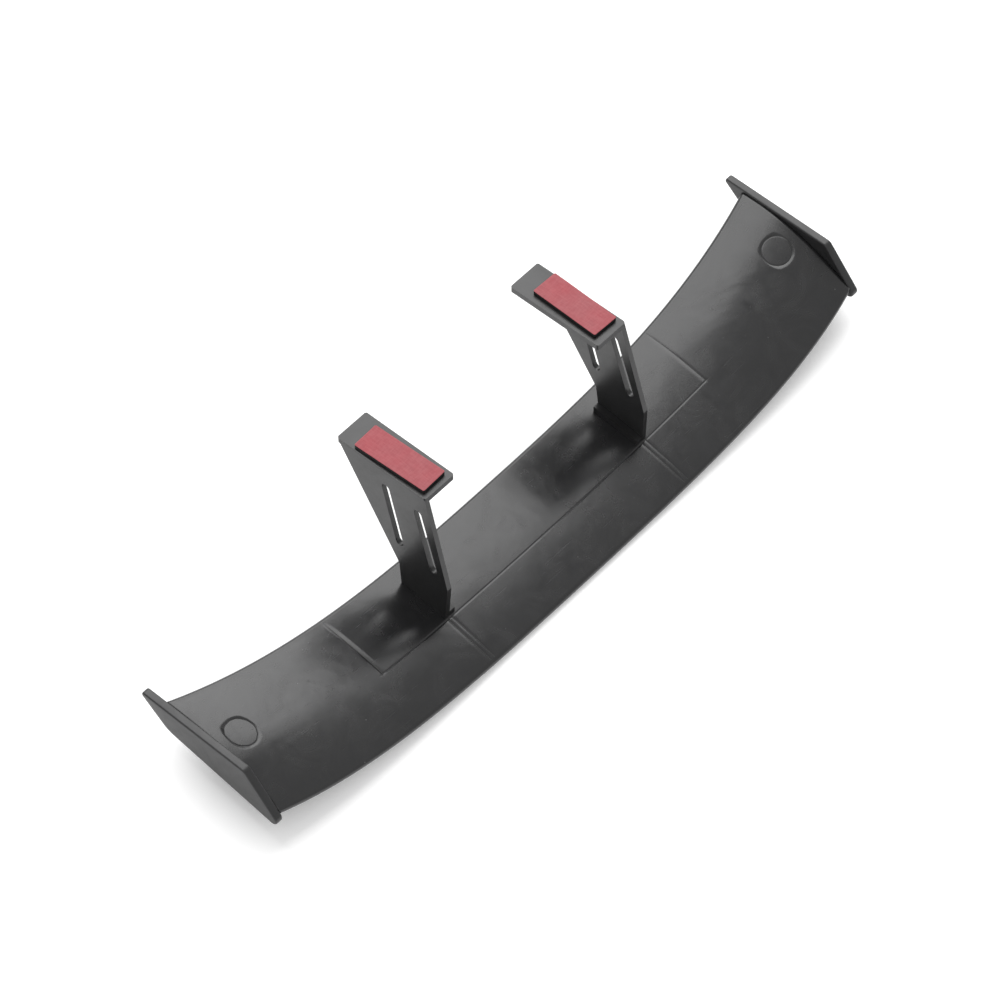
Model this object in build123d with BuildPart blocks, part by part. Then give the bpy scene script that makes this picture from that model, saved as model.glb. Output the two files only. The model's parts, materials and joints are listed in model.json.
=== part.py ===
from build123d import *
import os
from math import atan2, cos, degrees, radians, sin

# A small stick-on racing rear wing, lying on its back with its two feet in the air.
# Every shape is laid out from the foot datum: local x runs along the span, local y towards the
# leading edge, local z out of the adhesive side of the feet.

# ---- overall sizes, millimetres ------------------------------------------------------------
span = 185.4                   # outer face to outer face of the end plates
rest_tilt = 10.14              # lean of the feet while the wing lies on both edges of its blade
datum_y = 24.807               # leading end of the feet, from the middle of the outline
datum_z = 32.839               # leading end of the feet, above the surface it lies on

# ---- blade ---------------------------------------------------------------------------------
blade_thickness = 2.0
camber, camber_gain = 1.0, 1.4  # height of the arch above the chord, and what it gains at the ends
lead_y, lead_z = -14.3, -34.9  # middle of the leading edge
trail_y, trail_z = -42.25, -39.9
lead_sweep, lead_rise = 6.1, 11.05     # how far the ends of the leading edge run forward and up
trail_sweep, trail_rise = 4.65, 7.85   # the same for the trailing edge
blade_stations = 13

# ---- witness rings left by the mould's ejector pins ------------------------------------------
ring_span, ring_y = 84.7, -22.5
ring_outer, ring_inner = 7.0, 6.5
ring_depth = 0.25

# ---- end plates ------------------------------------------------------------------------------
plate_thickness = 1.9
plate_lead_tip = (-1.3, -22.2)
plate_trail_shoulder = (-31.0, -22.9)
plate_tail = (-41.6, -35.2)
plate_heel = (-9.4, -29.3)
plate_corners = (0.7, 1.6, 1.4, 6.0)  # tip, shoulder, tail, heel
plate_edge_round = 0.35

# ---- legs ------------------------------------------------------------------------------------
foot_outer, foot_inner = 31.0, 22.3
foot_length = 24.3
foot_thickness = 1.5
foot_corner = 0.5
web_thickness = 1.2
web_lean = 1.6                 # degrees the web leans outwards on its way to the blade
web_top_lead, web_top_trail = -0.25, -24.05
web_knee_lead = (-17.2, -26.9)
web_knee_trail = (-30.6, -24.9)
web_toe_lead, web_toe_trail = -17.9, -30.1
web_corners = (0.3, 1.5, 0.3, 0.3, 1.2, 0.3)
slot_width = 2.1
lead_slot = ((-13.4, -5.6), (-17.3, -19.9))
trail_slot = ((-22.2, -6.6), (-26.6, -21.2))
sole_width, sole_thickness = 1.7, 1.5

# ---- adhesive tape ---------------------------------------------------------------------------
tape_width = 6.7
left_tape_length, right_tape_length = 18.6, 17.5   # cut by hand, so not quite alike
tape_turn = 1.8                # degrees that each strip is laid out of square
foam_thickness, liner_thickness = 0.9, 0.12
tape_x = 27.1
tape_y = -13.7

half_span = span / 2
blade_half = half_span - plate_thickness
half_thick = blade_thickness / 2
tilt = radians(rest_tilt)
foot_datum = Plane(origin=(0, datum_y, datum_z), x_dir=(1, 0, 0), z_dir=(0, sin(tilt), cos(tilt)))


def section_plane(x, lean=0.0):
    """The plane across the span at x. Its own axes are the datum's y and z, and it may lean outwards."""
    square = foot_datum.x_dir * cos(radians(lean)) + foot_datum.z_dir * sin(radians(lean))
    return Plane(origin=foot_datum.from_local_coords((x, 0, 0)), x_dir=foot_datum.y_dir, z_dir=square)


def edges_at(x):
    """Middle of the leading edge and of the trailing edge at x. Both curve forward and up at the ends."""
    t = abs(x) / blade_half
    lead = Vector(lead_y + lead_sweep * t**3.5, lead_z + lead_rise * t**2.4)
    trail = Vector(trail_y + trail_sweep * t**4.5, trail_z + trail_rise * t**2.6)
    return lead, trail


def blade_point(x, share, side):
    """A point on the blade's section at x: share of the chord from the leading edge, side +1 for the feet's side."""
    lead, trail = edges_at(x)
    along = (trail - lead).normalized()
    up = Vector(-along.Y, along.X) * (1 if along.X > 0 else -1)
    height = camber + camber_gain * (abs(x) / blade_half) ** 3
    arch = height * 4 * share * (1 - share)
    return lead + (trail - lead) * share + up * (arch + side * half_thick)


def blade_top(x, y):
    """Height of the blade's face on the feet's side at x and y."""
    lead, trail = edges_at(x)
    share = (y - lead.X) / (trail.X - lead.X)
    return blade_point(x, share, 1).Y


# ---- blade: a thin arched section lofted along the span --------------------------------------
shares = [i / 6 for i in range(7)]
with BuildPart() as blade:
    for i in range(blade_stations):
        x = -blade_half + 2 * blade_half * i / (blade_stations - 1)
        lead, trail = edges_at(x)
        along = (trail - lead).normalized()
        with BuildSketch(section_plane(x)):
            with BuildLine():
                upper = Spline(*[blade_point(x, s, 1) for s in shares])
                lower = Spline(*[blade_point(x, s, -1) for s in shares])
                ThreePointArc(upper @ 0, lead - along * half_thick, lower @ 0)
                ThreePointArc(upper @ 1, trail + along * half_thick, lower @ 1)
            make_face()
    loft()
    # ring grooves round the two ejector marks, square to the face they lie in
    for x in (-ring_span, ring_span):
        here = Vector(x, ring_y, blade_top(x, ring_y))
        run = Vector(0, -1, blade_top(x, ring_y - 1) - here.Z)
        side = Vector(1, 0, blade_top(x + 1, ring_y) - here.Z)
        normal = run.cross(side) * -1
        if normal.Z < 0:
            normal = normal * -1
        ring_plane = Plane(
            origin=foot_datum.from_local_coords(here),
            x_dir=foot_datum.from_local_coords(here + side) - foot_datum.from_local_coords(here),
            z_dir=foot_datum.from_local_coords(here + normal) - foot_datum.from_local_coords(here),
        )
        with BuildSketch(ring_plane.offset(-ring_depth)):
            Circle(ring_outer / 2)
            Circle(ring_inner / 2, mode=Mode.SUBTRACT)
        extrude(amount=2, mode=Mode.SUBTRACT)

# ---- end plates: one flat kite, the other is its mirror image --------------------------------
with BuildPart() as right_end_plate:
    with BuildSketch(section_plane(blade_half)):
        with BuildLine():
            FilletPolyline(
                plate_lead_tip, plate_trail_shoulder, plate_tail, plate_heel, radius=plate_corners, close=True
            )
        make_face()
    extrude(amount=plate_thickness)
    fillet(right_end_plate.faces().sort_by(Axis.X)[-1].edges(), plate_edge_round)

with BuildPart() as left_end_plate:
    add(mirror(right_end_plate.part, about=Plane.YZ))

# ---- legs: foot flange, leaning slotted web and a narrow sole on the blade --------------------
sole_x = foot_outer + sin(radians(web_lean)) * 34 - web_thickness
with BuildPart() as right_leg:
    with BuildSketch(foot_datum.offset(-foot_thickness)):
        with Locations(((foot_outer + foot_inner) / 2, -foot_length / 2)):
            RectangleRounded(foot_outer - foot_inner, foot_length, foot_corner)
    extrude(amount=foot_thickness)
    with BuildSketch(section_plane(foot_outer, web_lean)):
        with BuildLine():
            FilletPolyline(
                (web_top_lead, -0.5),
                web_knee_lead,
                (web_toe_lead, blade_top(sole_x, web_toe_lead) - 0.6),
                (web_toe_trail, blade_top(sole_x, web_toe_trail) - 0.6),
                web_knee_trail,
                (web_top_trail, -0.5),
                radius=web_corners,
                close=True,
            )
        make_face()
        for upper_end, lower_end in (lead_slot, trail_slot):
            reach = Vector(*lower_end) - Vector(*upper_end)
            middle = (Vector(*lower_end) + Vector(*upper_end)) * 0.5
            with Locations(Location((middle.X, middle.Y, 0), (0, 0, degrees(atan2(reach.Y, reach.X))))):
                SlotOverall(reach.length + slot_width, slot_width, mode=Mode.SUBTRACT)
    extrude(amount=-web_thickness)
    with BuildSketch(section_plane(sole_x - sole_width)):
        with BuildLine():
            rise = [(y, blade_top(sole_x, y) + sole_thickness) for y in (web_toe_lead, -24, web_toe_trail)]
            sink = [(y, blade_top(sole_x, y) - 0.6) for y in (web_toe_lead, -24, web_toe_trail)]
            ThreePointArc(*rise)
            ThreePointArc(*sink)
            Line(rise[0], sink[0])
            Line(rise[2], sink[2])
        make_face()
    extrude(amount=sole_width + web_thickness / 2)
    add(blade.part, mode=Mode.SUBTRACT)

with BuildPart() as left_leg:
    add(mirror(right_leg.part, about=Plane.YZ))

# ---- adhesive tape on each foot: a foam strip under its peel-off film --------------------------
with BuildPart() as left_foam_tape:
    with BuildSketch(foot_datum):
        with Locations(Location((-tape_x, tape_y, 0), (0, 0, tape_turn))):
            Rectangle(tape_width, left_tape_length)
    extrude(amount=foam_thickness)

with BuildPart() as right_foam_tape:
    with BuildSketch(foot_datum):
        with Locations(Location((tape_x, tape_y, 0), (0, 0, -tape_turn))):
            Rectangle(tape_width, right_tape_length)
    extrude(amount=foam_thickness)

with BuildPart() as left_release_liner:
    with BuildSketch(foot_datum.offset(foam_thickness)):
        with Locations(Location((-tape_x, tape_y, 0), (0, 0, tape_turn))):
            Rectangle(tape_width, left_tape_length)
    extrude(amount=liner_thickness)

with BuildPart() as right_release_liner:
    with BuildSketch(foot_datum.offset(foam_thickness)):
        with Locations(Location((tape_x, tape_y, 0), (0, 0, -tape_turn))):
            Rectangle(tape_width, right_tape_length)
    extrude(amount=liner_thickness)

blade.part.label = "blade"
left_end_plate.part.label = "left_end_plate"
right_end_plate.part.label = "right_end_plate"
left_leg.part.label = "left_leg"
right_leg.part.label = "right_leg"
left_foam_tape.part.label = "left_foam_tape"
right_foam_tape.part.label = "right_foam_tape"
left_release_liner.part.label = "left_release_liner"
right_release_liner.part.label = "right_release_liner"

os.makedirs("parts", exist_ok=True)
export_step(blade.part, "parts/blade.step")
export_step(left_end_plate.part, "parts/left_end_plate.step")
export_step(right_end_plate.part, "parts/right_end_plate.step")
export_step(left_leg.part, "parts/left_leg.step")
export_step(right_leg.part, "parts/right_leg.step")
export_step(left_foam_tape.part, "parts/left_foam_tape.step")
export_step(right_foam_tape.part, "parts/right_foam_tape.step")
export_step(left_release_liner.part, "parts/left_release_liner.step")
export_step(right_release_liner.part, "parts/right_release_liner.step")

pieces = (blade, left_end_plate, right_end_plate, left_leg, right_leg, left_foam_tape, right_foam_tape)
pieces += (left_release_liner, right_release_liner)
boxes = [piece.part.bounding_box() for piece in pieces]
low = [min(tuple(b.min)[i] for b in boxes) for i in range(3)]
high = [max(tuple(b.max)[i] for b in boxes) for i in range(3)]
print("outline from", [round(v, 3) for v in low], "to", [round(v, 3) for v in high])
print("middle in y", round((low[1] + high[1]) / 2, 3))
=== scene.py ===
import json

import bpy
import numpy as np
from bpy.props import FloatProperty, FloatVectorProperty, IntProperty, PointerProperty
from bpy.types import Operator, Panel, PropertyGroup
from mathutils import Matrix


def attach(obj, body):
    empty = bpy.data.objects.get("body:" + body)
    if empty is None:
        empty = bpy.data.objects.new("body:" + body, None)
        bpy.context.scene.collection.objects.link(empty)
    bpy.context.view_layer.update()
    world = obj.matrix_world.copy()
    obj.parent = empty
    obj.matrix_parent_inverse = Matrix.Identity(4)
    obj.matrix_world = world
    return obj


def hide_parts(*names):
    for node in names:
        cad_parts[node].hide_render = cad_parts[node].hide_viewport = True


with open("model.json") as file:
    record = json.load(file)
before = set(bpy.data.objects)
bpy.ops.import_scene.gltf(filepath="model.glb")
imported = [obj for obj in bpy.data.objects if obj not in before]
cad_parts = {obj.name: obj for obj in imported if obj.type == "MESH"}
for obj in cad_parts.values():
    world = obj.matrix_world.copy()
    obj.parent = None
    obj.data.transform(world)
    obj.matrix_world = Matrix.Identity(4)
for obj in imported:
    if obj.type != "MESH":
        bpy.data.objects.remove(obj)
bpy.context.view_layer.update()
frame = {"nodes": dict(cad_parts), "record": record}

bl_info = {
    "name": "Stick-on Rear Wing",
    "version": (1, 0, 0),
    "blender": (4, 5, 0),
    "location": "View3D > Sidebar > Rear Wing",
    "description": "Moulded skins, tapes, plastics and studio for a small stick-on racing rear wing",
    "category": "Object",
}

MM = 0.001

# ---- foot datum: x along the span, y towards the leading edge, z out of the pads, mm ----
PAD_X, PAD_Y, PAD_Z = 27.1, -13.7, 1.02
_pad = frame["record"]["mounts"][1]
TILT_SIN, TILT_COS = _pad["axis"][1], _pad["axis"][2]
DATUM_Y = _pad["pos_m"][1] / MM - PAD_Y * TILT_COS - PAD_Z * TILT_SIN
DATUM_Z = _pad["pos_m"][2] / MM + PAD_Y * TILT_SIN - PAD_Z * TILT_COS

# ---- blade, mm ----
BLADE_END = 90.8
LEAD_Y, LEAD_Z, LEAD_SWEEP, LEAD_RISE = -14.3, -34.9, 6.1, 11.05
TRAIL_Y, TRAIL_Z, TRAIL_SWEEP, TRAIL_RISE = -42.25, -39.9, 4.65, 7.85
SEAM_Y, SEAM_END = -30.5, 51.5     # the long witness line, and where it turns to the leading edge
SOLE_LINES = (30.4, 31.5)          # the pair of short witness lines beside each leg
SEAM_SHARE = 0.53                  # share of the grid rows that lie ahead of the seam
RING_X, RING_Y = 84.7, -22.5
BLADE_ROWS, UNDER_ROWS, LIP_STEPS = 76, 30, 14

# ---- end plates, mm: tip, shoulder, tail, heel as (y, z) and the corner radii ----
PLATE_CORNERS = np.array([(-1.3, -22.2), (-31.0, -22.9), (-41.6, -35.2), (-9.4, -29.3)])
PLATE_RADII = np.array([0.7, 1.6, 1.4, 6.0])
PLATE_OUTER = 92.7

# ---- tapes, mm and degrees: width, the two lengths, and how far each strip is out of square ----
TAPE_WIDTH, TAPE_LENGTHS, TAPE_TURN = 6.7, (18.6, 17.5), 1.8
FOAM_TOP = 0.9
TAPE_CORNER, FOAM_EDGE, FILM_EDGE = 0.35, 0.12, 0.05

# ---- studio: the camera and both lights in the foot datum, mm and directions; floor in m ----
CAMERA_SPOT = (-428.31, -396.72, 717.78)
CAMERA_AXES = ((0.66348, -0.74820, 0.0), (0.59616, 0.52867, 0.60423), (-0.4521, -0.40089, 0.79681))
CAMERA_LENS, CAMERA_SENSOR = 160.82, 36.0
KEY_WAY, FILL_WAY = (0.40, 0.43, 0.81), (-0.85, -0.25, 0.75)
AIR_STRENGTH = 0.75
FLOOR_REACH = 20.0


# ------------------------------------------------------------------------------ properties
class WingSizes(PropertyGroup):
    """Sizes of the visible wing that a user would change."""

    thickness: FloatProperty(
        name="Blade thickness", description="Wall of the blade", default=2.0 * MM,
        min=0.5 * MM, subtype="DISTANCE", unit="LENGTH")
    camber: FloatProperty(
        name="Camber", description="Height of the arch of the section above its chord",
        default=1.0 * MM, subtype="DISTANCE", unit="LENGTH")
    camber_gain: FloatProperty(
        name="Camber gain", description="What the arch gains in height towards the ends of the blade",
        default=1.4 * MM, subtype="DISTANCE", unit="LENGTH")
    line_width: FloatProperty(
        name="Witness line width", description="Half width of the mould's witness lines",
        default=0.11 * MM, subtype="DISTANCE", unit="LENGTH")
    line_depth: FloatProperty(
        name="Witness line depth", description="Depth of the mould's witness lines",
        default=0.07 * MM, subtype="DISTANCE", unit="LENGTH")
    ring_radius: FloatProperty(
        name="Ejector mark radius", description="Outer radius of the round ejector marks",
        default=3.45 * MM, subtype="DISTANCE", unit="LENGTH")
    ring_depth: FloatProperty(
        name="Ejector mark depth", description="Depth of the groove round an ejector mark",
        default=0.13 * MM, subtype="DISTANCE", unit="LENGTH")
    columns: IntProperty(
        name="Blade columns", description="Grid columns along the plain part of the blade",
        default=170, min=40, max=400)
    edge_round: FloatProperty(
        name="Plate edge round", description="Rounding of the end plates' edges",
        default=0.38 * MM, subtype="DISTANCE", unit="LENGTH")
    tape_wave: FloatProperty(
        name="Film unevenness", description="How far the peel-off film is out of flat",
        default=0.035 * MM, subtype="DISTANCE", unit="LENGTH")


class WingColours(PropertyGroup):
    """Colours of the finishes."""

    plastic: FloatVectorProperty(
        name="Plastic", description="Base colour of the moulded plastic",
        default=(0.0105, 0.0105, 0.0110), size=3, min=0, max=1, subtype="COLOR")
    plastic_pale: FloatVectorProperty(
        name="Plastic, pale flow", description="Colour of the paler flow marks",
        default=(0.0170, 0.0170, 0.0175), size=3, min=0, max=1, subtype="COLOR")
    foam: FloatVectorProperty(
        name="Foam", description="Colour of the tape's foam core",
        default=(0.006, 0.006, 0.006), size=3, min=0, max=1, subtype="COLOR")
    film: FloatVectorProperty(
        name="Peel-off film", description="Colour of the tape's release film",
        default=(0.27, 0.040, 0.050), size=3, min=0, max=1, subtype="COLOR")
    floor: FloatVectorProperty(
        name="Floor", description="Colour of the studio floor",
        default=(0.98, 0.98, 0.98), size=3, min=0, max=1, subtype="COLOR")


# --------------------------------------------------------------------------------- geometry
def to_row(x, y, z):
    """Foot datum (mm) to the row frame (m): a turn by the rest tilt about x, then the shift."""
    row_y = DATUM_Y + y * TILT_COS + z * TILT_SIN
    row_z = DATUM_Z - y * TILT_SIN + z * TILT_COS
    return np.stack([x, row_y, row_z], -1) * MM


def turn_to_row(vector):
    """A direction from the foot datum to the row frame, as an array."""
    x, y, z = vector
    return np.array([x, y * TILT_COS + z * TILT_SIN, -y * TILT_SIN + z * TILT_COS])


def make_piece(name, points, quads, tris=None, smooth=True, attribute=None):
    """A mesh object at the origin from whole arrays of points (m), quads and triangles."""
    mesh = bpy.data.meshes.new(name)
    faces = [quads] if tris is None else [quads, tris]
    loops = np.concatenate([f.ravel() for f in faces]).astype(np.int32)
    sizes = np.concatenate([np.full(len(f), f.shape[1]) for f in faces])
    mesh.vertices.add(len(points))
    mesh.vertices.foreach_set("co", np.asarray(points, np.float32).ravel())
    mesh.loops.add(len(loops))
    mesh.loops.foreach_set("vertex_index", loops)
    mesh.polygons.add(len(sizes))
    starts = np.concatenate([[0], np.cumsum(sizes)[:-1]]).astype(np.int32)
    mesh.polygons.foreach_set("loop_start", starts)
    mesh.polygons.foreach_set("use_smooth", np.full(len(sizes), smooth))
    mesh.update(calc_edges=True)
    mesh.validate()
    for key, values in (attribute or {}).items():
        layer = mesh.attributes.new(key, "FLOAT", "POINT")
        layer.data.foreach_set("value", np.asarray(values, np.float32).ravel())
    piece = bpy.data.objects.new(name, mesh)
    bpy.context.scene.collection.objects.link(piece)
    return piece


def grid_quads(rows, cols, close_cols=False):
    """Quads of a grid numbered row by row; close_cols joins the last column to the first."""
    r, c = np.meshgrid(np.arange(rows - 1), np.arange(cols if close_cols else cols - 1), indexing="ij")
    nxt = (c + 1) % cols
    quads = np.stack([r * cols + c, r * cols + nxt, (r + 1) * cols + nxt, (r + 1) * cols + c], -1)
    return quads.reshape(-1, 4)


def blade_edges(x):
    """Leading and trailing edge middles at x: each sweeps forward as a power of |x| and rises as another."""
    t = np.abs(x) / BLADE_END
    lead = (LEAD_Y + LEAD_SWEEP * t**3.5, LEAD_Z + LEAD_RISE * t**2.4)
    trail = (TRAIL_Y + TRAIL_SWEEP * t**4.5, TRAIL_Z + TRAIL_RISE * t**2.6)
    return lead, trail


def arch_at(x, camber, gain):
    """Height of the arch at x: camber + gain t^3, with t = |x| over the blade's half span."""
    return camber + gain * (np.abs(x) / BLADE_END) ** 3


def blade_point(x, share, offset, arch):
    """Section point: leading edge + chord x share + chord normal x (arch 4s(1-s) + offset)."""
    (lead_y, lead_z), (trail_y, trail_z) = blade_edges(x)
    chord_y, chord_z = trail_y - lead_y, trail_z - lead_z
    length = np.hypot(chord_y, chord_z)
    ny, nz = chord_z / length, -chord_y / length
    lift = arch * 4 * share * (1 - share) + offset
    return lead_y + chord_y * share + ny * lift, lead_z + chord_z * share + nz * lift, ny, nz


def share_at(x, y, offset, arch):
    """Share of the chord at which the offset surface has this y, by four Newton steps."""
    (lead_y, lead_z), (trail_y, trail_z) = blade_edges(x)
    chord_y, chord_z = trail_y - lead_y, trail_z - lead_z
    ny = chord_z / np.hypot(chord_y, chord_z)
    share = (y - lead_y) / chord_y
    for _ in range(4):
        miss = lead_y + chord_y * share + ny * (arch * 4 * share * (1 - share) + offset) - y
        share = share - miss / (chord_y + ny * arch * 4 * (1 - 2 * share))
    return share


def blade_columns(count, line):
    """Column places: even along the blade, three at each chordwise witness line, close at the rings."""
    plain = np.linspace(-79.5, 79.5, count)
    lines = np.array([s * v for v in (*SOLE_LINES, SEAM_END) for s in (-1, 1)])
    plain = plain[np.abs(plain[:, None] - lines).min(1) > 2.2 * line]
    grooves = (lines[:, None] + line * np.array([-1.0, 0.0, 1.0])).ravel()
    close = np.linspace(80.0, 89.4, 27)
    return np.sort(np.concatenate([plain, grooves, close, -close, [-BLADE_END, -90.1, 90.1, BLADE_END]]))


def round_patch(x, y, centre_x, centre_y, col, row, half, radii, wobble):
    """Bends a square of grid cells round an ejector mark. Ring number = the larger of the steps from the
    middle; each ring becomes a circle of its radius, and the outermost rings ease back to the grid."""
    i, j = np.meshgrid(np.arange(x.shape[0]) - col, np.arange(x.shape[1]) - row, indexing="ij")
    ring = np.maximum(np.abs(i), np.abs(j))
    inside = ring <= half
    sideways = np.abs(i) >= np.abs(j)
    quarter = np.where(ring > 0, np.where(sideways, j, i) / np.maximum(ring, 1), 0)
    turn = np.where(sideways,
                    np.where(i >= 0, quarter, 4 - quarter),
                    np.where(j >= 0, 2 - quarter, 6 + quarter)) * (np.pi / 4)
    uneven = 1 + wobble * (np.sin(5 * turn + 0.7) + 0.7 * np.sin(11 * turn) + 0.5 * np.sin(17 * turn + 2.0))
    radius = radii[np.clip(ring, 0, half)] * uneven
    ease = np.clip((ring - (half - 4)) / 4.0, 0, 1)
    cx = centre_x + radius * np.cos(turn)
    cy = centre_y - radius * np.sin(turn)
    new_x = np.where(inside, cx * (1 - ease) + x * ease, x)
    new_y = np.where(inside, cy * (1 - ease) + y * ease, y)
    return new_x, new_y, np.where(inside, ring, half + 9)


def blade_face(cols, sizes):
    """The blade's face on the legs' side, column by column, and the weight of its painted groove shade. Rows
    run from the leading to the trailing edge, with three on the seam; groove depth and unevenness fade out at
    both edges."""
    camber, gain, half = sizes.camber / MM, sizes.camber_gain / MM, sizes.thickness / MM / 2
    line, radius = sizes.line_width / MM, sizes.ring_radius / MM
    even = np.linspace(0, 1, BLADE_ROWS)
    near_seam = [SEAM_SHARE - 1e-9, SEAM_SHARE, SEAM_SHARE + 1e-9]
    even = np.sort(np.concatenate([even[np.abs(even - SEAM_SHARE) > 0.004], near_seam]))
    seam_row = int(np.argmin(np.abs(even - SEAM_SHARE)))
    at_seam = share_at(cols, np.full_like(cols, SEAM_Y), half, arch_at(cols, camber, gain))[:, None]
    behind = at_seam + (even - SEAM_SHARE) / (1 - SEAM_SHARE) * (1 - at_seam)
    share = np.where(even <= SEAM_SHARE, even / SEAM_SHARE * at_seam, behind)
    x = np.repeat(cols[:, None], len(even), 1)
    y = blade_point(x, share, half, arch_at(x, camber, gain))[0]
    y[:, seam_row - 1] += line
    y[:, seam_row + 1] -= line

    marks = np.zeros_like(x)
    drop = np.zeros_like(x)
    disc_rings, groove_rings = 6, (7, 8)
    radii = np.concatenate([np.linspace(0, radius - 0.34, 6), radius + np.array([-0.24, -0.15, -0.06, 0.03]),
                            [radius + 0.3, radius + 0.6, radius + 0.9, radius + 1.2]])
    # shade: strength of the painted shade in each ejector ring's groove
    for side, wobble, shade in ((-1, 0.010, 0.8), (1, 0.0015, 0.45)):
        col = int(np.argmin(np.abs(cols - side * RING_X)))
        row = int(np.argmin(np.abs(y[col] - RING_Y)))
        x, y, ring = round_patch(x, y, side * RING_X, RING_Y, col, row, len(radii) - 1, radii, wobble)
        groove = np.isin(ring, groove_rings)
        drop[groove] = sizes.ring_depth / MM
        marks[groove] = shade
        drop[ring <= disc_rings] += 0.03
    share = share_at(x, y, half, arch_at(x, camber, gain))

    on_seam = np.zeros_like(x)
    on_seam[:, seam_row] = np.clip((SEAM_END + 0.3 - np.abs(x[:, seam_row])) / 0.3, 0, 1)
    at_end = np.isclose(np.abs(x), SEAM_END) & (y > SEAM_Y - 0.2)
    at_sole = np.isclose(np.abs(x)[..., None], SOLE_LINES).any(-1) & (y < SEAM_Y + 0.2)
    lined = np.maximum(on_seam, (at_end | at_sole).astype(float))
    drop += sizes.line_depth / MM * lined
    uneven = 0.035 * smooth_noise(x, y, 19.0, 5)
    edge = np.clip(np.minimum(share, 1 - share) / 0.06, 0, 1)
    top_y, top_z, _, _ = blade_point(x, share, half - (drop - uneven) * edge, arch_at(x, camber, gain))
    # the second array weighs the painted shade in the witness lines and ejector ring grooves
    return np.stack([x, top_y, top_z], -1), np.maximum(marks, lined)


def close_tube(around):
    """Row-frame points and outward faces of a tube given ring by ring, closed by a fan at each end."""
    n_rings, n_round = around.shape[:2]
    quads = grid_quads(n_rings, n_round, close_cols=True)
    flat = around.reshape(-1, 3)
    ends = np.stack([around[0].mean(0), around[-1].mean(0)])
    points = to_row(*np.concatenate([flat, ends]).T)
    c = np.arange(n_round)
    nxt = (c + 1) % n_round
    last = (n_rings - 1) * n_round
    tris = np.concatenate([np.stack([nxt, c, np.full(n_round, len(flat))], 1),
                           np.stack([last + c, last + nxt, np.full(n_round, len(flat) + 1)], 1)])
    return points, *outward(points, quads, tris)


def rounded_outline(corners, radii, per_corner=9, per_edge=8):
    """Outline of a convex polygon with its corners rounded, and the outward normals. Each corner arc is
    centred where the two edges, moved in by the radius, cross; points lie evenly on arcs and edges."""
    before, after = np.roll(corners, 1, 0), np.roll(corners, -1, 0)
    e0 = (corners - before) / np.linalg.norm(corners - before, axis=1)[:, None]
    e1 = (after - corners) / np.linalg.norm(after - corners, axis=1)[:, None]
    side = np.sign((e0[:, 0] * e1[:, 1] - e0[:, 1] * e1[:, 0]).sum())
    n0 = side * np.stack([e0[:, 1], -e0[:, 0]], 1)
    n1 = side * np.stack([e1[:, 1], -e1[:, 0]], 1)
    bisect = n0 + n1
    bisect /= (bisect * n0).sum(1)[:, None]
    centre = corners - bisect * radii[:, None]
    a0 = np.arctan2(n0[:, 1], n0[:, 0])
    swing = (np.arctan2(n1[:, 1], n1[:, 0]) - a0 + np.pi) % (2 * np.pi) - np.pi
    angle = a0[:, None] + swing[:, None] * np.linspace(0, 1, per_corner)
    arc_n = np.stack([np.cos(angle), np.sin(angle)], -1)
    arc_p = centre[:, None] + arc_n * radii[:, None, None]
    share = np.linspace(0, 1, per_edge + 2)[1:-1][None, :, None]
    nxt = np.roll(arc_p[:, 0], -1, 0)[:, None]
    edge_p = arc_p[:, -1:] * (1 - share) + nxt * share
    edge_n = np.repeat(arc_n[:, -1:], per_edge, 1)
    points = np.concatenate([arc_p, edge_p], 1).reshape(-1, 2)
    normals = np.concatenate([arc_n, edge_n], 1).reshape(-1, 2)
    return points, normals


def slab(outline, normals, low, high, edge, place, surface=None, arc=6, rings=(0.9, 0.72, 0.5, 0.25)):
    """A flat body with rounded edges. The section is a quarter circle, a straight wall and a quarter
    circle, carried round the outline; both faces close in shrinking rings to a pole in the middle.
    place turns (u, v, w) into the foot datum and surface adds a height to the upper face."""
    turn = np.linspace(0, np.pi / 2, arc)
    inset = np.concatenate([edge * (1 - np.sin(turn)), edge * (1 - np.cos(turn))])
    level = np.concatenate([low + edge * (1 - np.cos(turn)), high - edge * (1 - np.sin(turn))])
    wall = outline[None] - normals[None] * inset[:, None, None]
    wall_w = np.repeat(level[:, None], len(outline), 1)
    middle = outline.mean(0)
    shrink = np.array(rings)[:, None, None]
    top = middle + (wall[-1][None] - middle) * shrink
    bottom = middle + (wall[0][None] - middle) * shrink[::-1]
    uv = np.concatenate([bottom, wall, top])
    w = np.concatenate([np.full(bottom.shape[:2], low), wall_w, np.full(top.shape[:2], high)])
    rows, cols = w.shape
    uv = np.concatenate([uv.reshape(-1, 2), [middle, middle]])
    w = np.concatenate([w.ravel(), [low, high]])
    if surface is not None:
        w = w + surface(uv[:, 0], uv[:, 1]) * np.clip((w - low) / (high - low), 0, 1)
    quads = grid_quads(rows, cols, close_cols=True)
    c = np.arange(cols)
    nxt = (c + 1) % cols
    low_fan = np.stack([nxt, c, np.full(cols, rows * cols)], 1)
    top_row = (rows - 1) * cols
    high_fan = np.stack([top_row + c, top_row + nxt, np.full(cols, rows * cols + 1)], 1)
    return to_row(*place(uv[:, 0], uv[:, 1], w)), quads, np.concatenate([low_fan, high_fan])


def outward(points, quads, tris):
    """Turns all faces round if the closed shape's signed volume comes out negative."""
    def volume(f):
        a, b, c = points[f[:, 0]], points[f[:, 1]], points[f[:, 2]]
        return (a * np.cross(b, c)).sum()
    total = volume(quads[:, :3]) + volume(quads[:, [0, 2, 3]]) + volume(tris)
    return (quads, tris) if total > 0 else (quads[:, ::-1], tris[:, ::-1])


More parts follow.
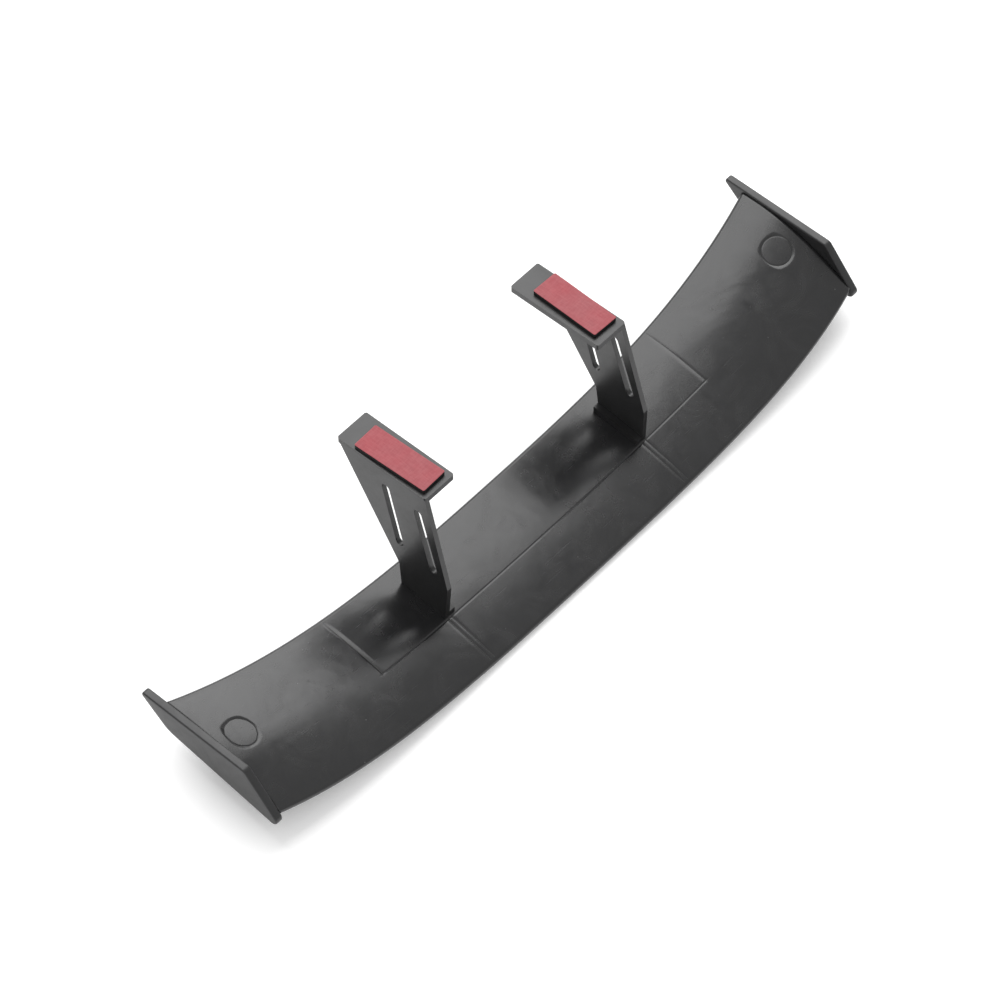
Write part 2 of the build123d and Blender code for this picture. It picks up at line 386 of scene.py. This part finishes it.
def smooth_noise(u, v, scale, seed):
    """Low smooth unevenness: a sum of a few sine waves whose directions come from the seed."""
    pick = np.random.default_rng(seed)
    angle, phase = pick.uniform(0, 2 * np.pi, (2, 6))
    pitch = pick.uniform(0.6, 1.7, 6) / scale
    waves = np.sin((u[..., None] * np.cos(angle) + v[..., None] * np.sin(angle)) * pitch * 2 * np.pi + phase)
    return waves.mean(-1)


# -------------------------------------------------------------------------------- materials
def new_material(name):
    """An empty node material with its shader and output, and a function that adds nodes."""
    material = bpy.data.materials.new(name)
    material.use_nodes = True
    tree = material.node_tree
    tree.nodes.clear()
    out = tree.nodes.new("ShaderNodeOutputMaterial")
    shader = tree.nodes.new("ShaderNodeBsdfPrincipled")
    tree.links.new(shader.outputs["BSDF"], out.inputs["Surface"])

    def add(kind, settings=None, **sockets):
        node = tree.nodes.new("ShaderNode" + kind)
        for key, value in (settings or {}).items():
            setattr(node, key, value)
        for key, value in sockets.items():
            numbered = key[0] == "i" and key[1:].isdigit()
            socket = node.inputs[int(key[1:]) if numbered else key.replace("_", " ")]
            if isinstance(value, bpy.types.NodeSocket):
                tree.links.new(value, socket)
            else:
                socket.default_value = value
        return node

    return material, tree, shader, add


def ramp(add, source, low, high, colours=((0, 0, 0), (1, 1, 1))):
    """A two-stop colour ramp between low and high."""
    node = add("ValToRGB", Fac=source)
    for stop, place, colour in zip(node.color_ramp.elements, (low, high), colours):
        stop.position = place
        stop.color = (*colour, 1.0)
    return node.outputs["Color"]


def span_map(add, source, low, high, to_low, to_high):
    """A clamped map of a value from one span to another."""
    node = add("MapRange", {"clamp": True}, i0=source, i1=low, i2=high, i3=to_low, i4=to_high)
    return node.outputs["Result"]


def plastic_material(name, dark, pale, gloss=(0.20, 0.30), grain=0.14, ripple=0.35, lines=False):
    """Satin moulded plastic: dark base with paler flow marks, roughness that follows the flow, a fine
    eroded grain, long shallow ripples, hair scratches and a few dust specks."""
    material, tree, shader, add = new_material(name)
    place = add("TexCoord").outputs["Object"]
    broad = add("TexNoise", Vector=place, Scale=34.0, Detail=3.0, Roughness=0.5, Distortion=0.4).outputs["Fac"]
    flow = add("TexNoise", Vector=place, Scale=95.0, Detail=5.0, Roughness=0.62, Distortion=2.2).outputs["Fac"]
    blotch = add("Math", {"operation": "MULTIPLY"},
                 i0=span_map(add, broad, 0.40, 0.68, 0.0, 1.0),
                 i1=span_map(add, flow, 0.35, 0.70, 0.25, 1.0)).outputs[0]
    colour = add("Mix", {"data_type": "RGBA"}, i0=blotch)
    colour.inputs[6].default_value = (*dark, 1)
    colour.inputs[7].default_value = (*pale, 1)
    colour = colour.outputs[2]

    streak_at = add("Mapping", Vector=place, Rotation=(0.1, 0.0, 0.55), Scale=(70.0, 2600.0, 900.0)).outputs[0]
    streak = add("TexNoise", Vector=streak_at, Scale=1.0, Detail=2.0, Roughness=0.5).outputs["Fac"]
    hair = span_map(add, streak, 0.70, 0.76, 0.0, 1.0)
    cross_at = add("Mapping", Vector=place, Rotation=(0.0, 0.2, -0.9), Scale=(45.0, 2100.0, 900.0)).outputs[0]
    cross = add("TexNoise", Vector=cross_at, Scale=1.0, Detail=2.0, Roughness=0.5).outputs["Fac"]
    crossing = span_map(add, cross, 0.72, 0.78, 0.0, 0.8)
    hair = add("Math", {"operation": "MAXIMUM"}, i0=hair, i1=crossing).outputs[0]

    speck = add("TexVoronoi", {"feature": "F1"}, Vector=place, Scale=420.0, Randomness=1.0)
    near = span_map(add, speck.outputs["Distance"], 0.045, 0.075, 1.0, 0.0)
    chosen = span_map(add, add("SeparateColor", Color=speck.outputs["Color"]).outputs[0], 0.86, 0.88, 0.0, 1.0)
    dust = add("Math", {"operation": "MULTIPLY"}, i0=near, i1=chosen).outputs[0]
    dusty = add("Mix", {"data_type": "RGBA"}, i0=span_map(add, dust, 0.0, 1.0, 0.0, 0.22))
    tree.links.new(colour, dusty.inputs[6])
    dusty.inputs[7].default_value = (0.22, 0.22, 0.22, 1)
    colour = dusty.outputs[2]

    rough = span_map(add, flow, 0.30, 0.72, gloss[0], gloss[1])
    rough = add("Math", {"operation": "ADD"}, i0=rough, i1=span_map(add, hair, 0, 1, 0, 0.10)).outputs[0]

    fine = add("TexNoise", Vector=place, Scale=1500.0, Detail=4.0, Roughness=0.65).outputs["Fac"]
    long = add("TexNoise", Vector=place, Scale=60.0, Detail=2.0, Roughness=0.45, Distortion=0.8).outputs["Fac"]
    bump = add("Bump", Height=long, Strength=ripple, Distance=0.0006)
    bump = add("Bump", Height=fine, Strength=grain, Distance=0.00006, Normal=bump.outputs[0])
    bump = add("Bump", {"invert": True}, Height=hair, Strength=0.10, Distance=0.00003, Normal=bump.outputs[0])

    # painted shade: the grooves of the witness lines and ejector rings get a near-black colour, patchy by
    # noise, and more roughness
    if lines:
        mark = add("Attribute", {"attribute_name": "line", "attribute_type": "GEOMETRY"}).outputs["Fac"]
        broken = add("TexNoise", Vector=place, Scale=260.0, Detail=3.0, Roughness=0.6).outputs["Fac"]
        # strength of the painted groove shade, made patchy by noise
        patchy_shade = span_map(add, broken, 0.30, 0.55, 0.55, 1.0)
        mark = add("Math", {"operation": "MULTIPLY"}, i0=mark, i1=patchy_shade).outputs[0]
        lined = add("Mix", {"data_type": "RGBA"}, i0=span_map(add, mark, 0, 1, 0, 0.9))
        tree.links.new(colour, lined.inputs[6])
        lined.inputs[7].default_value = (0.002, 0.002, 0.002, 1)
        colour = lined.outputs[2]
        rough = add("Math", {"operation": "ADD"}, i0=rough, i1=span_map(add, mark, 0, 1, 0, 0.35)).outputs[0]
    tree.links.new(colour, shader.inputs["Base Color"])
    tree.links.new(rough, shader.inputs["Roughness"])
    tree.links.new(bump.outputs[0], shader.inputs["Normal"])
    shader.inputs["IOR"].default_value = 1.5
    shader.inputs["Specular IOR Level"].default_value = 0.5
    return material


def foam_material(name, colour):
    """Closed-cell foam: dark cells with paler walls, matt, bumped cell by cell."""
    material, tree, shader, add = new_material(name)
    place = add("TexCoord").outputs["Object"]
    cell = add("TexVoronoi", {"feature": "F1"}, Vector=place, Scale=3200.0).outputs["Distance"]
    cloud = add("TexNoise", Vector=place, Scale=500.0, Detail=3.0).outputs["Fac"]
    shade = add("Math", {"operation": "MULTIPLY"}, i0=cell, i1=cloud).outputs[0]
    tint = ramp(add, shade, 0.05, 0.45, (tuple(c * 0.5 for c in colour), tuple(c * 2.2 for c in colour)))
    bump = add("Bump", {"invert": True}, Height=cell, Strength=0.8, Distance=0.00008)
    tree.links.new(tint, shader.inputs["Base Color"])
    tree.links.new(span_map(add, cloud, 0.3, 0.7, 0.78, 0.95), shader.inputs["Roughness"])
    tree.links.new(bump.outputs[0], shader.inputs["Normal"])
    shader.inputs["Specular IOR Level"].default_value = 0.3
    return material


def film_material(name, colour):
    """Peel-off film: dyed plastic with a faint woven press pattern, cloudy dye, soft creases and sheen."""
    material, tree, shader, add = new_material(name)
    place = add("TexCoord").outputs["Object"]
    cloud = add("TexNoise", Vector=place, Scale=150.0, Detail=5.0, Roughness=0.6).outputs["Fac"]
    faded, rich = tuple(c * 0.90 for c in colour), tuple(min(1.0, c * 1.10) for c in colour)
    tint = ramp(add, cloud, 0.30, 0.72, (faded, rich))
    fibre_at = add("Mapping", Vector=place, Scale=(2600.0, 500.0, 500.0)).outputs[0]
    fibre = add("TexNoise", Vector=fibre_at, Scale=1.0, Detail=3.0, Roughness=0.6).outputs["Fac"]
    weft_at = add("Mapping", Vector=place, Scale=(500.0, 2600.0, 2600.0)).outputs[0]
    weft = add("TexNoise", Vector=weft_at, Scale=1.0, Detail=3.0, Roughness=0.6).outputs["Fac"]
    mesh = add("Math", {"operation": "ADD"}, i0=fibre, i1=weft).outputs[0]
    thread = add("Mix", {"data_type": "RGBA"}, i0=span_map(add, mesh, 0.80, 1.20, 0.0, 0.16))
    tree.links.new(tint, thread.inputs[6])
    thread.inputs[7].default_value = (0.52, 0.16, 0.17, 1)
    crease = add("TexNoise", Vector=place, Scale=210.0, Detail=2.0, Distortion=1.5).outputs["Fac"]
    bump = add("Bump", Height=crease, Strength=0.25, Distance=0.0003)
    bump = add("Bump", Height=mesh, Strength=0.30, Distance=0.00004, Normal=bump.outputs[0])
    tree.links.new(thread.outputs[2], shader.inputs["Base Color"])
    tree.links.new(span_map(add, cloud, 0.3, 0.7, 0.42, 0.58), shader.inputs["Roughness"])
    tree.links.new(bump.outputs[0], shader.inputs["Normal"])
    shader.inputs["Sheen Weight"].default_value = 0.05
    shader.inputs["Sheen Roughness"].default_value = 0.4
    shader.inputs["Specular IOR Level"].default_value = 0.33
    return material


def floor_material(name, colour):
    """Seamless paper lit a little from behind: near white, matt, barely uneven, with a fine tooth."""
    material, tree, shader, add = new_material(name)
    place = add("TexCoord").outputs["Object"]
    tone = add("TexNoise", Vector=place, Scale=2.0, Detail=2.0).outputs["Fac"]
    tint = ramp(add, tone, 0.2, 0.8, (tuple(c * 0.985 for c in colour), colour))
    tooth = add("TexNoise", Vector=place, Scale=900.0, Detail=2.0).outputs["Fac"]
    bump = add("Bump", Height=tooth, Strength=0.05, Distance=0.0001)
    tree.links.new(tint, shader.inputs["Base Color"])
    tree.links.new(bump.outputs[0], shader.inputs["Normal"])
    shader.inputs["Roughness"].default_value = 0.95
    shader.inputs["Specular IOR Level"].default_value = 0.1
    shader.inputs["Emission Color"].default_value = (1.0, 1.0, 1.0, 1.0)
    shader.inputs["Emission Strength"].default_value = 0.13
    return material


def assign(piece, material):
    """Puts one material on a piece, CAD node or new."""
    piece.data.materials.clear()
    piece.data.materials.append(material)


# -------------------------------------------------------------------------------- operators
class REARWING_OT_blade(Operator):
    """Blade skin: an arched section lofted along the span, with witness lines and ejector marks."""

    bl_idname = "rearwing.blade"
    bl_label = "Blade"

    def execute(self, context):
        sizes, colours = context.scene.wing_sizes, context.scene.wing_colours
        camber, gain, half = sizes.camber / MM, sizes.camber_gain / MM, sizes.thickness / MM / 2
        cols = blade_columns(sizes.columns, sizes.line_width / MM)
        top, marks = blade_face(cols, sizes)

        def side_rows(count):
            """The columns' x and arch height, repeated over so many rows of the section."""
            x = np.repeat(cols[:, None], count, 1)
            return x, arch_at(x, camber, gain)

        def lip(share_end, sign):
            """Half circle round an edge: middle point + normal x cos + chord direction x sin."""
            turn = np.linspace(0, np.pi, LIP_STEPS)[1:-1]
            x, arch = side_rows(len(turn))
            mid_y, mid_z, ny, nz = blade_point(x, np.full_like(x, share_end), 0.0, arch)
            swing = turn if sign > 0 else turn[::-1]
            return np.stack([x, mid_y + half * (ny * np.cos(swing) - sign * nz * np.sin(swing)),
                             mid_z + half * (nz * np.cos(swing) + sign * ny * np.sin(swing))], -1)

        x, arch = side_rows(UNDER_ROWS)
        under_share = np.linspace(1, 0, UNDER_ROWS)[None, :].repeat(len(cols), 0)
        under = np.stack([x, *blade_point(x, under_share, -half, arch)[:2]], -1)
        around = np.concatenate([top, lip(1.0, 1), under, lip(0.0, -1)], 1)
        points, quads, tris = close_tube(around)
        # weight of the painted shade in the grooves, on the face rows only, stored as the line attribute
        weight = np.zeros(around.shape[:2])
        weight[:, :marks.shape[1]] = marks
        blade = make_piece("blade_skin", points, quads, tris,
                           attribute={"line": np.concatenate([weight.ravel(), [0, 0]])})
        assign(blade, plastic_material(
            "wing_plastic_satin", colours.plastic, colours.plastic_pale, lines=True))
        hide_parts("blade")
        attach(blade, "wing")
        return {"FINISHED"}


class REARWING_OT_end_plates(Operator):
    """End plates: the kite outline with rounded corners and edges, carried through the thickness."""

    bl_idname = "rearwing.end_plates"
    bl_label = "End plates"

    def execute(self, context):
        sizes, colours = context.scene.wing_sizes, context.scene.wing_colours
        finish = plastic_material(
            "end_plate_satin", colours.plastic, colours.plastic_pale, gloss=(0.34, 0.46), ripple=0.2)
        outline, normals = rounded_outline(PLATE_CORNERS, PLATE_RADII, per_corner=12, per_edge=24)
        for side, name in ((-1, "left"), (1, "right")):
            points, quads, tris = slab(
                outline, normals, BLADE_END, PLATE_OUTER, sizes.edge_round / MM,
                lambda u, v, w, side=side: (side * w, u, v))
            quads, tris = outward(points, quads, tris)
            plate = make_piece(f"{name}_end_plate_skin", points, quads, tris)
            assign(plate, finish)
            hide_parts(f"{name}_end_plate")
            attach(plate, "wing")
        return {"FINISHED"}


class REARWING_OT_legs(Operator):
    """Legs: the moulded legs' own solids with a satin plastic finish."""

    bl_idname = "rearwing.legs"
    bl_label = "Legs"

    def execute(self, context):
        colours = context.scene.wing_colours
        finish = plastic_material(
            "leg_satin", colours.plastic, colours.plastic_pale, gloss=(0.28, 0.40), ripple=0.15)
        for name in ("left_leg", "right_leg"):
            assign(frame["nodes"][name], finish)
        return {"FINISHED"}


class REARWING_OT_tapes(Operator):
    """Tapes: a foam pad and a peel-off film on each foot, slightly uneven as if laid by hand."""

    bl_idname = "rearwing.tapes"
    bl_label = "Foam tapes and films"

    def execute(self, context):
        sizes, colours = context.scene.wing_sizes, context.scene.wing_colours
        foam = foam_material("tape_foam", colours.foam)
        film = film_material("release_film", colours.film)
        wave = sizes.tape_wave / MM

        def unevenness(u, v):
            """Unevenness of the film's face, never above its flat height."""
            return wave * (smooth_noise(u, v, 5.5, 11) - 1.0)

        for side, name in ((-1, "left"), (1, "right")):
            half_x, half_y = TAPE_WIDTH / 2, TAPE_LENGTHS[side > 0] / 2
            out_of_square = np.radians(-side * TAPE_TURN)
            spin = np.array([(np.cos(out_of_square), np.sin(out_of_square)),
                             (-np.sin(out_of_square), np.cos(out_of_square))])
            square = np.array([(-half_x, -half_y), (half_x, -half_y), (half_x, half_y), (-half_x, half_y)])
            corners = np.array([side * PAD_X, PAD_Y]) + square @ spin
            for kind, low, high, edge, finish, body, node in (
                    ("foam", 0.0, FOAM_TOP, FOAM_EDGE, foam, "wing", "foam_tape"),
                    ("film", FOAM_TOP, PAD_Z, FILM_EDGE, film, f"{name}_liner", "release_liner")):
                outline, normals = rounded_outline(corners, np.full(4, TAPE_CORNER), per_corner=8, per_edge=30)
                points, quads, tris = slab(
                    outline, normals, low, high, edge, lambda u, v, w: (u, v, w),
                    surface=unevenness if kind == "film" else None,
                    arc=4, rings=tuple(np.linspace(0.97, 0.06, 18)))
                quads, tris = outward(points, quads, tris)
                piece = make_piece(f"{name}_tape_{kind}", points, quads, tris)
                assign(piece, finish)
                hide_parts(f"{name}_{node}")
                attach(piece, body)
        return {"FINISHED"}


class REARWING_OT_stage(Operator):
    """Studio: pale floor, soft lights and the camera."""

    bl_idname = "rearwing.stage"
    bl_label = "Studio"

    def execute(self, context):
        scene = context.scene
        scene.view_settings.view_transform = "Standard"
        square = np.array([(-1, -1, 0), (1, -1, 0), (1, 1, 0), (-1, 1, 0)], float)
        floor = make_piece("floor", square * FLOOR_REACH, np.array([[0, 1, 2, 3]]), smooth=False)
        assign(floor, floor_material("floor_paper", scene.wing_colours.floor))

        world = bpy.data.worlds.new("studio_air")
        world.use_nodes = True
        back = world.node_tree.nodes["Background"]
        back.inputs["Color"].default_value = (1.0, 1.0, 1.0, 1)
        back.inputs["Strength"].default_value = AIR_STRENGTH
        scene.world = world

        def softbox(name, toward, distance, size, radiance):
            """An area light facing the middle of the object; its power gives the stated radiance."""
            data = bpy.data.lights.new(name, "AREA")
            data.shape, data.size, data.size_y = "RECTANGLE", size[0], size[1]
            data.energy = radiance * np.pi * size[0] * size[1]
            lamp = bpy.data.objects.new(name, data)
            way = turn_to_row(toward) / np.linalg.norm(toward)
            z = way
            x = np.array([1.0, 0.0, 0.0]) - z * z[0]
            x = x / np.linalg.norm(x)
            y = np.cross(z, x)
            rows = [[x[i], y[i], z[i], way[i] * distance] for i in range(3)]
            lamp.matrix_world = Matrix(rows + [[0, 0, 0, 1]])
            scene.collection.objects.link(lamp)
            return lamp

        softbox("key_softbox", KEY_WAY, 2.0, (2.5, 1.6), 3.5)
        softbox("fill_softbox", FILL_WAY, 2.2, (1.4, 1.4), 0.5)

        lens = bpy.data.cameras.new("camera")
        lens.lens, lens.sensor_width = CAMERA_LENS, CAMERA_SENSOR
        lens.clip_start, lens.clip_end = 0.01, 100.0
        camera = bpy.data.objects.new("camera", lens)
        right, up, back = (turn_to_row(axis) for axis in CAMERA_AXES)
        spot = to_row(*np.array(CAMERA_SPOT))
        camera.matrix_world = Matrix([[right[i], up[i], back[i], spot[i]] for i in range(3)] + [[0, 0, 0, 1]])
        scene.collection.objects.link(camera)
        scene.camera = camera
        return {"FINISHED"}


class REARWING_PT_panel(Panel):
    """Lists the wing's pieces, sizes and colours in the 3D view's sidebar."""

    bl_label = "Rear Wing"
    bl_idname = "REARWING_PT_panel"
    bl_space_type = "VIEW_3D"
    bl_region_type = "UI"
    bl_category = "Rear Wing"

    def draw(self, context):
        for group in (context.scene.wing_sizes, context.scene.wing_colours):
            box = self.layout.box()
            for key in group.__annotations__:
                box.prop(group, key)
        for step in STEPS:
            self.layout.operator(step.bl_idname)


STEPS = (REARWING_OT_stage, REARWING_OT_blade, REARWING_OT_end_plates, REARWING_OT_legs, REARWING_OT_tapes)
CLASSES = (WingSizes, WingColours, *STEPS, REARWING_PT_panel)


def register():
    for cls in CLASSES:
        bpy.utils.register_class(cls)
    bpy.types.Scene.wing_sizes = PointerProperty(type=WingSizes)
    bpy.types.Scene.wing_colours = PointerProperty(type=WingColours)


def unregister():
    del bpy.types.Scene.wing_colours
    del bpy.types.Scene.wing_sizes
    for cls in reversed(CLASSES):
        bpy.utils.unregister_class(cls)


def main():
    """Registers the add-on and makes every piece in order."""
    register()
    for step in STEPS:
        family, action = step.bl_idname.split(".")
        if getattr(getattr(bpy.ops, family), action)() != {"FINISHED"}:
            raise RuntimeError(f"{step.bl_label} did not finish")
    bpy.context.view_layer.update()


if __name__ == "__main__":
    main()
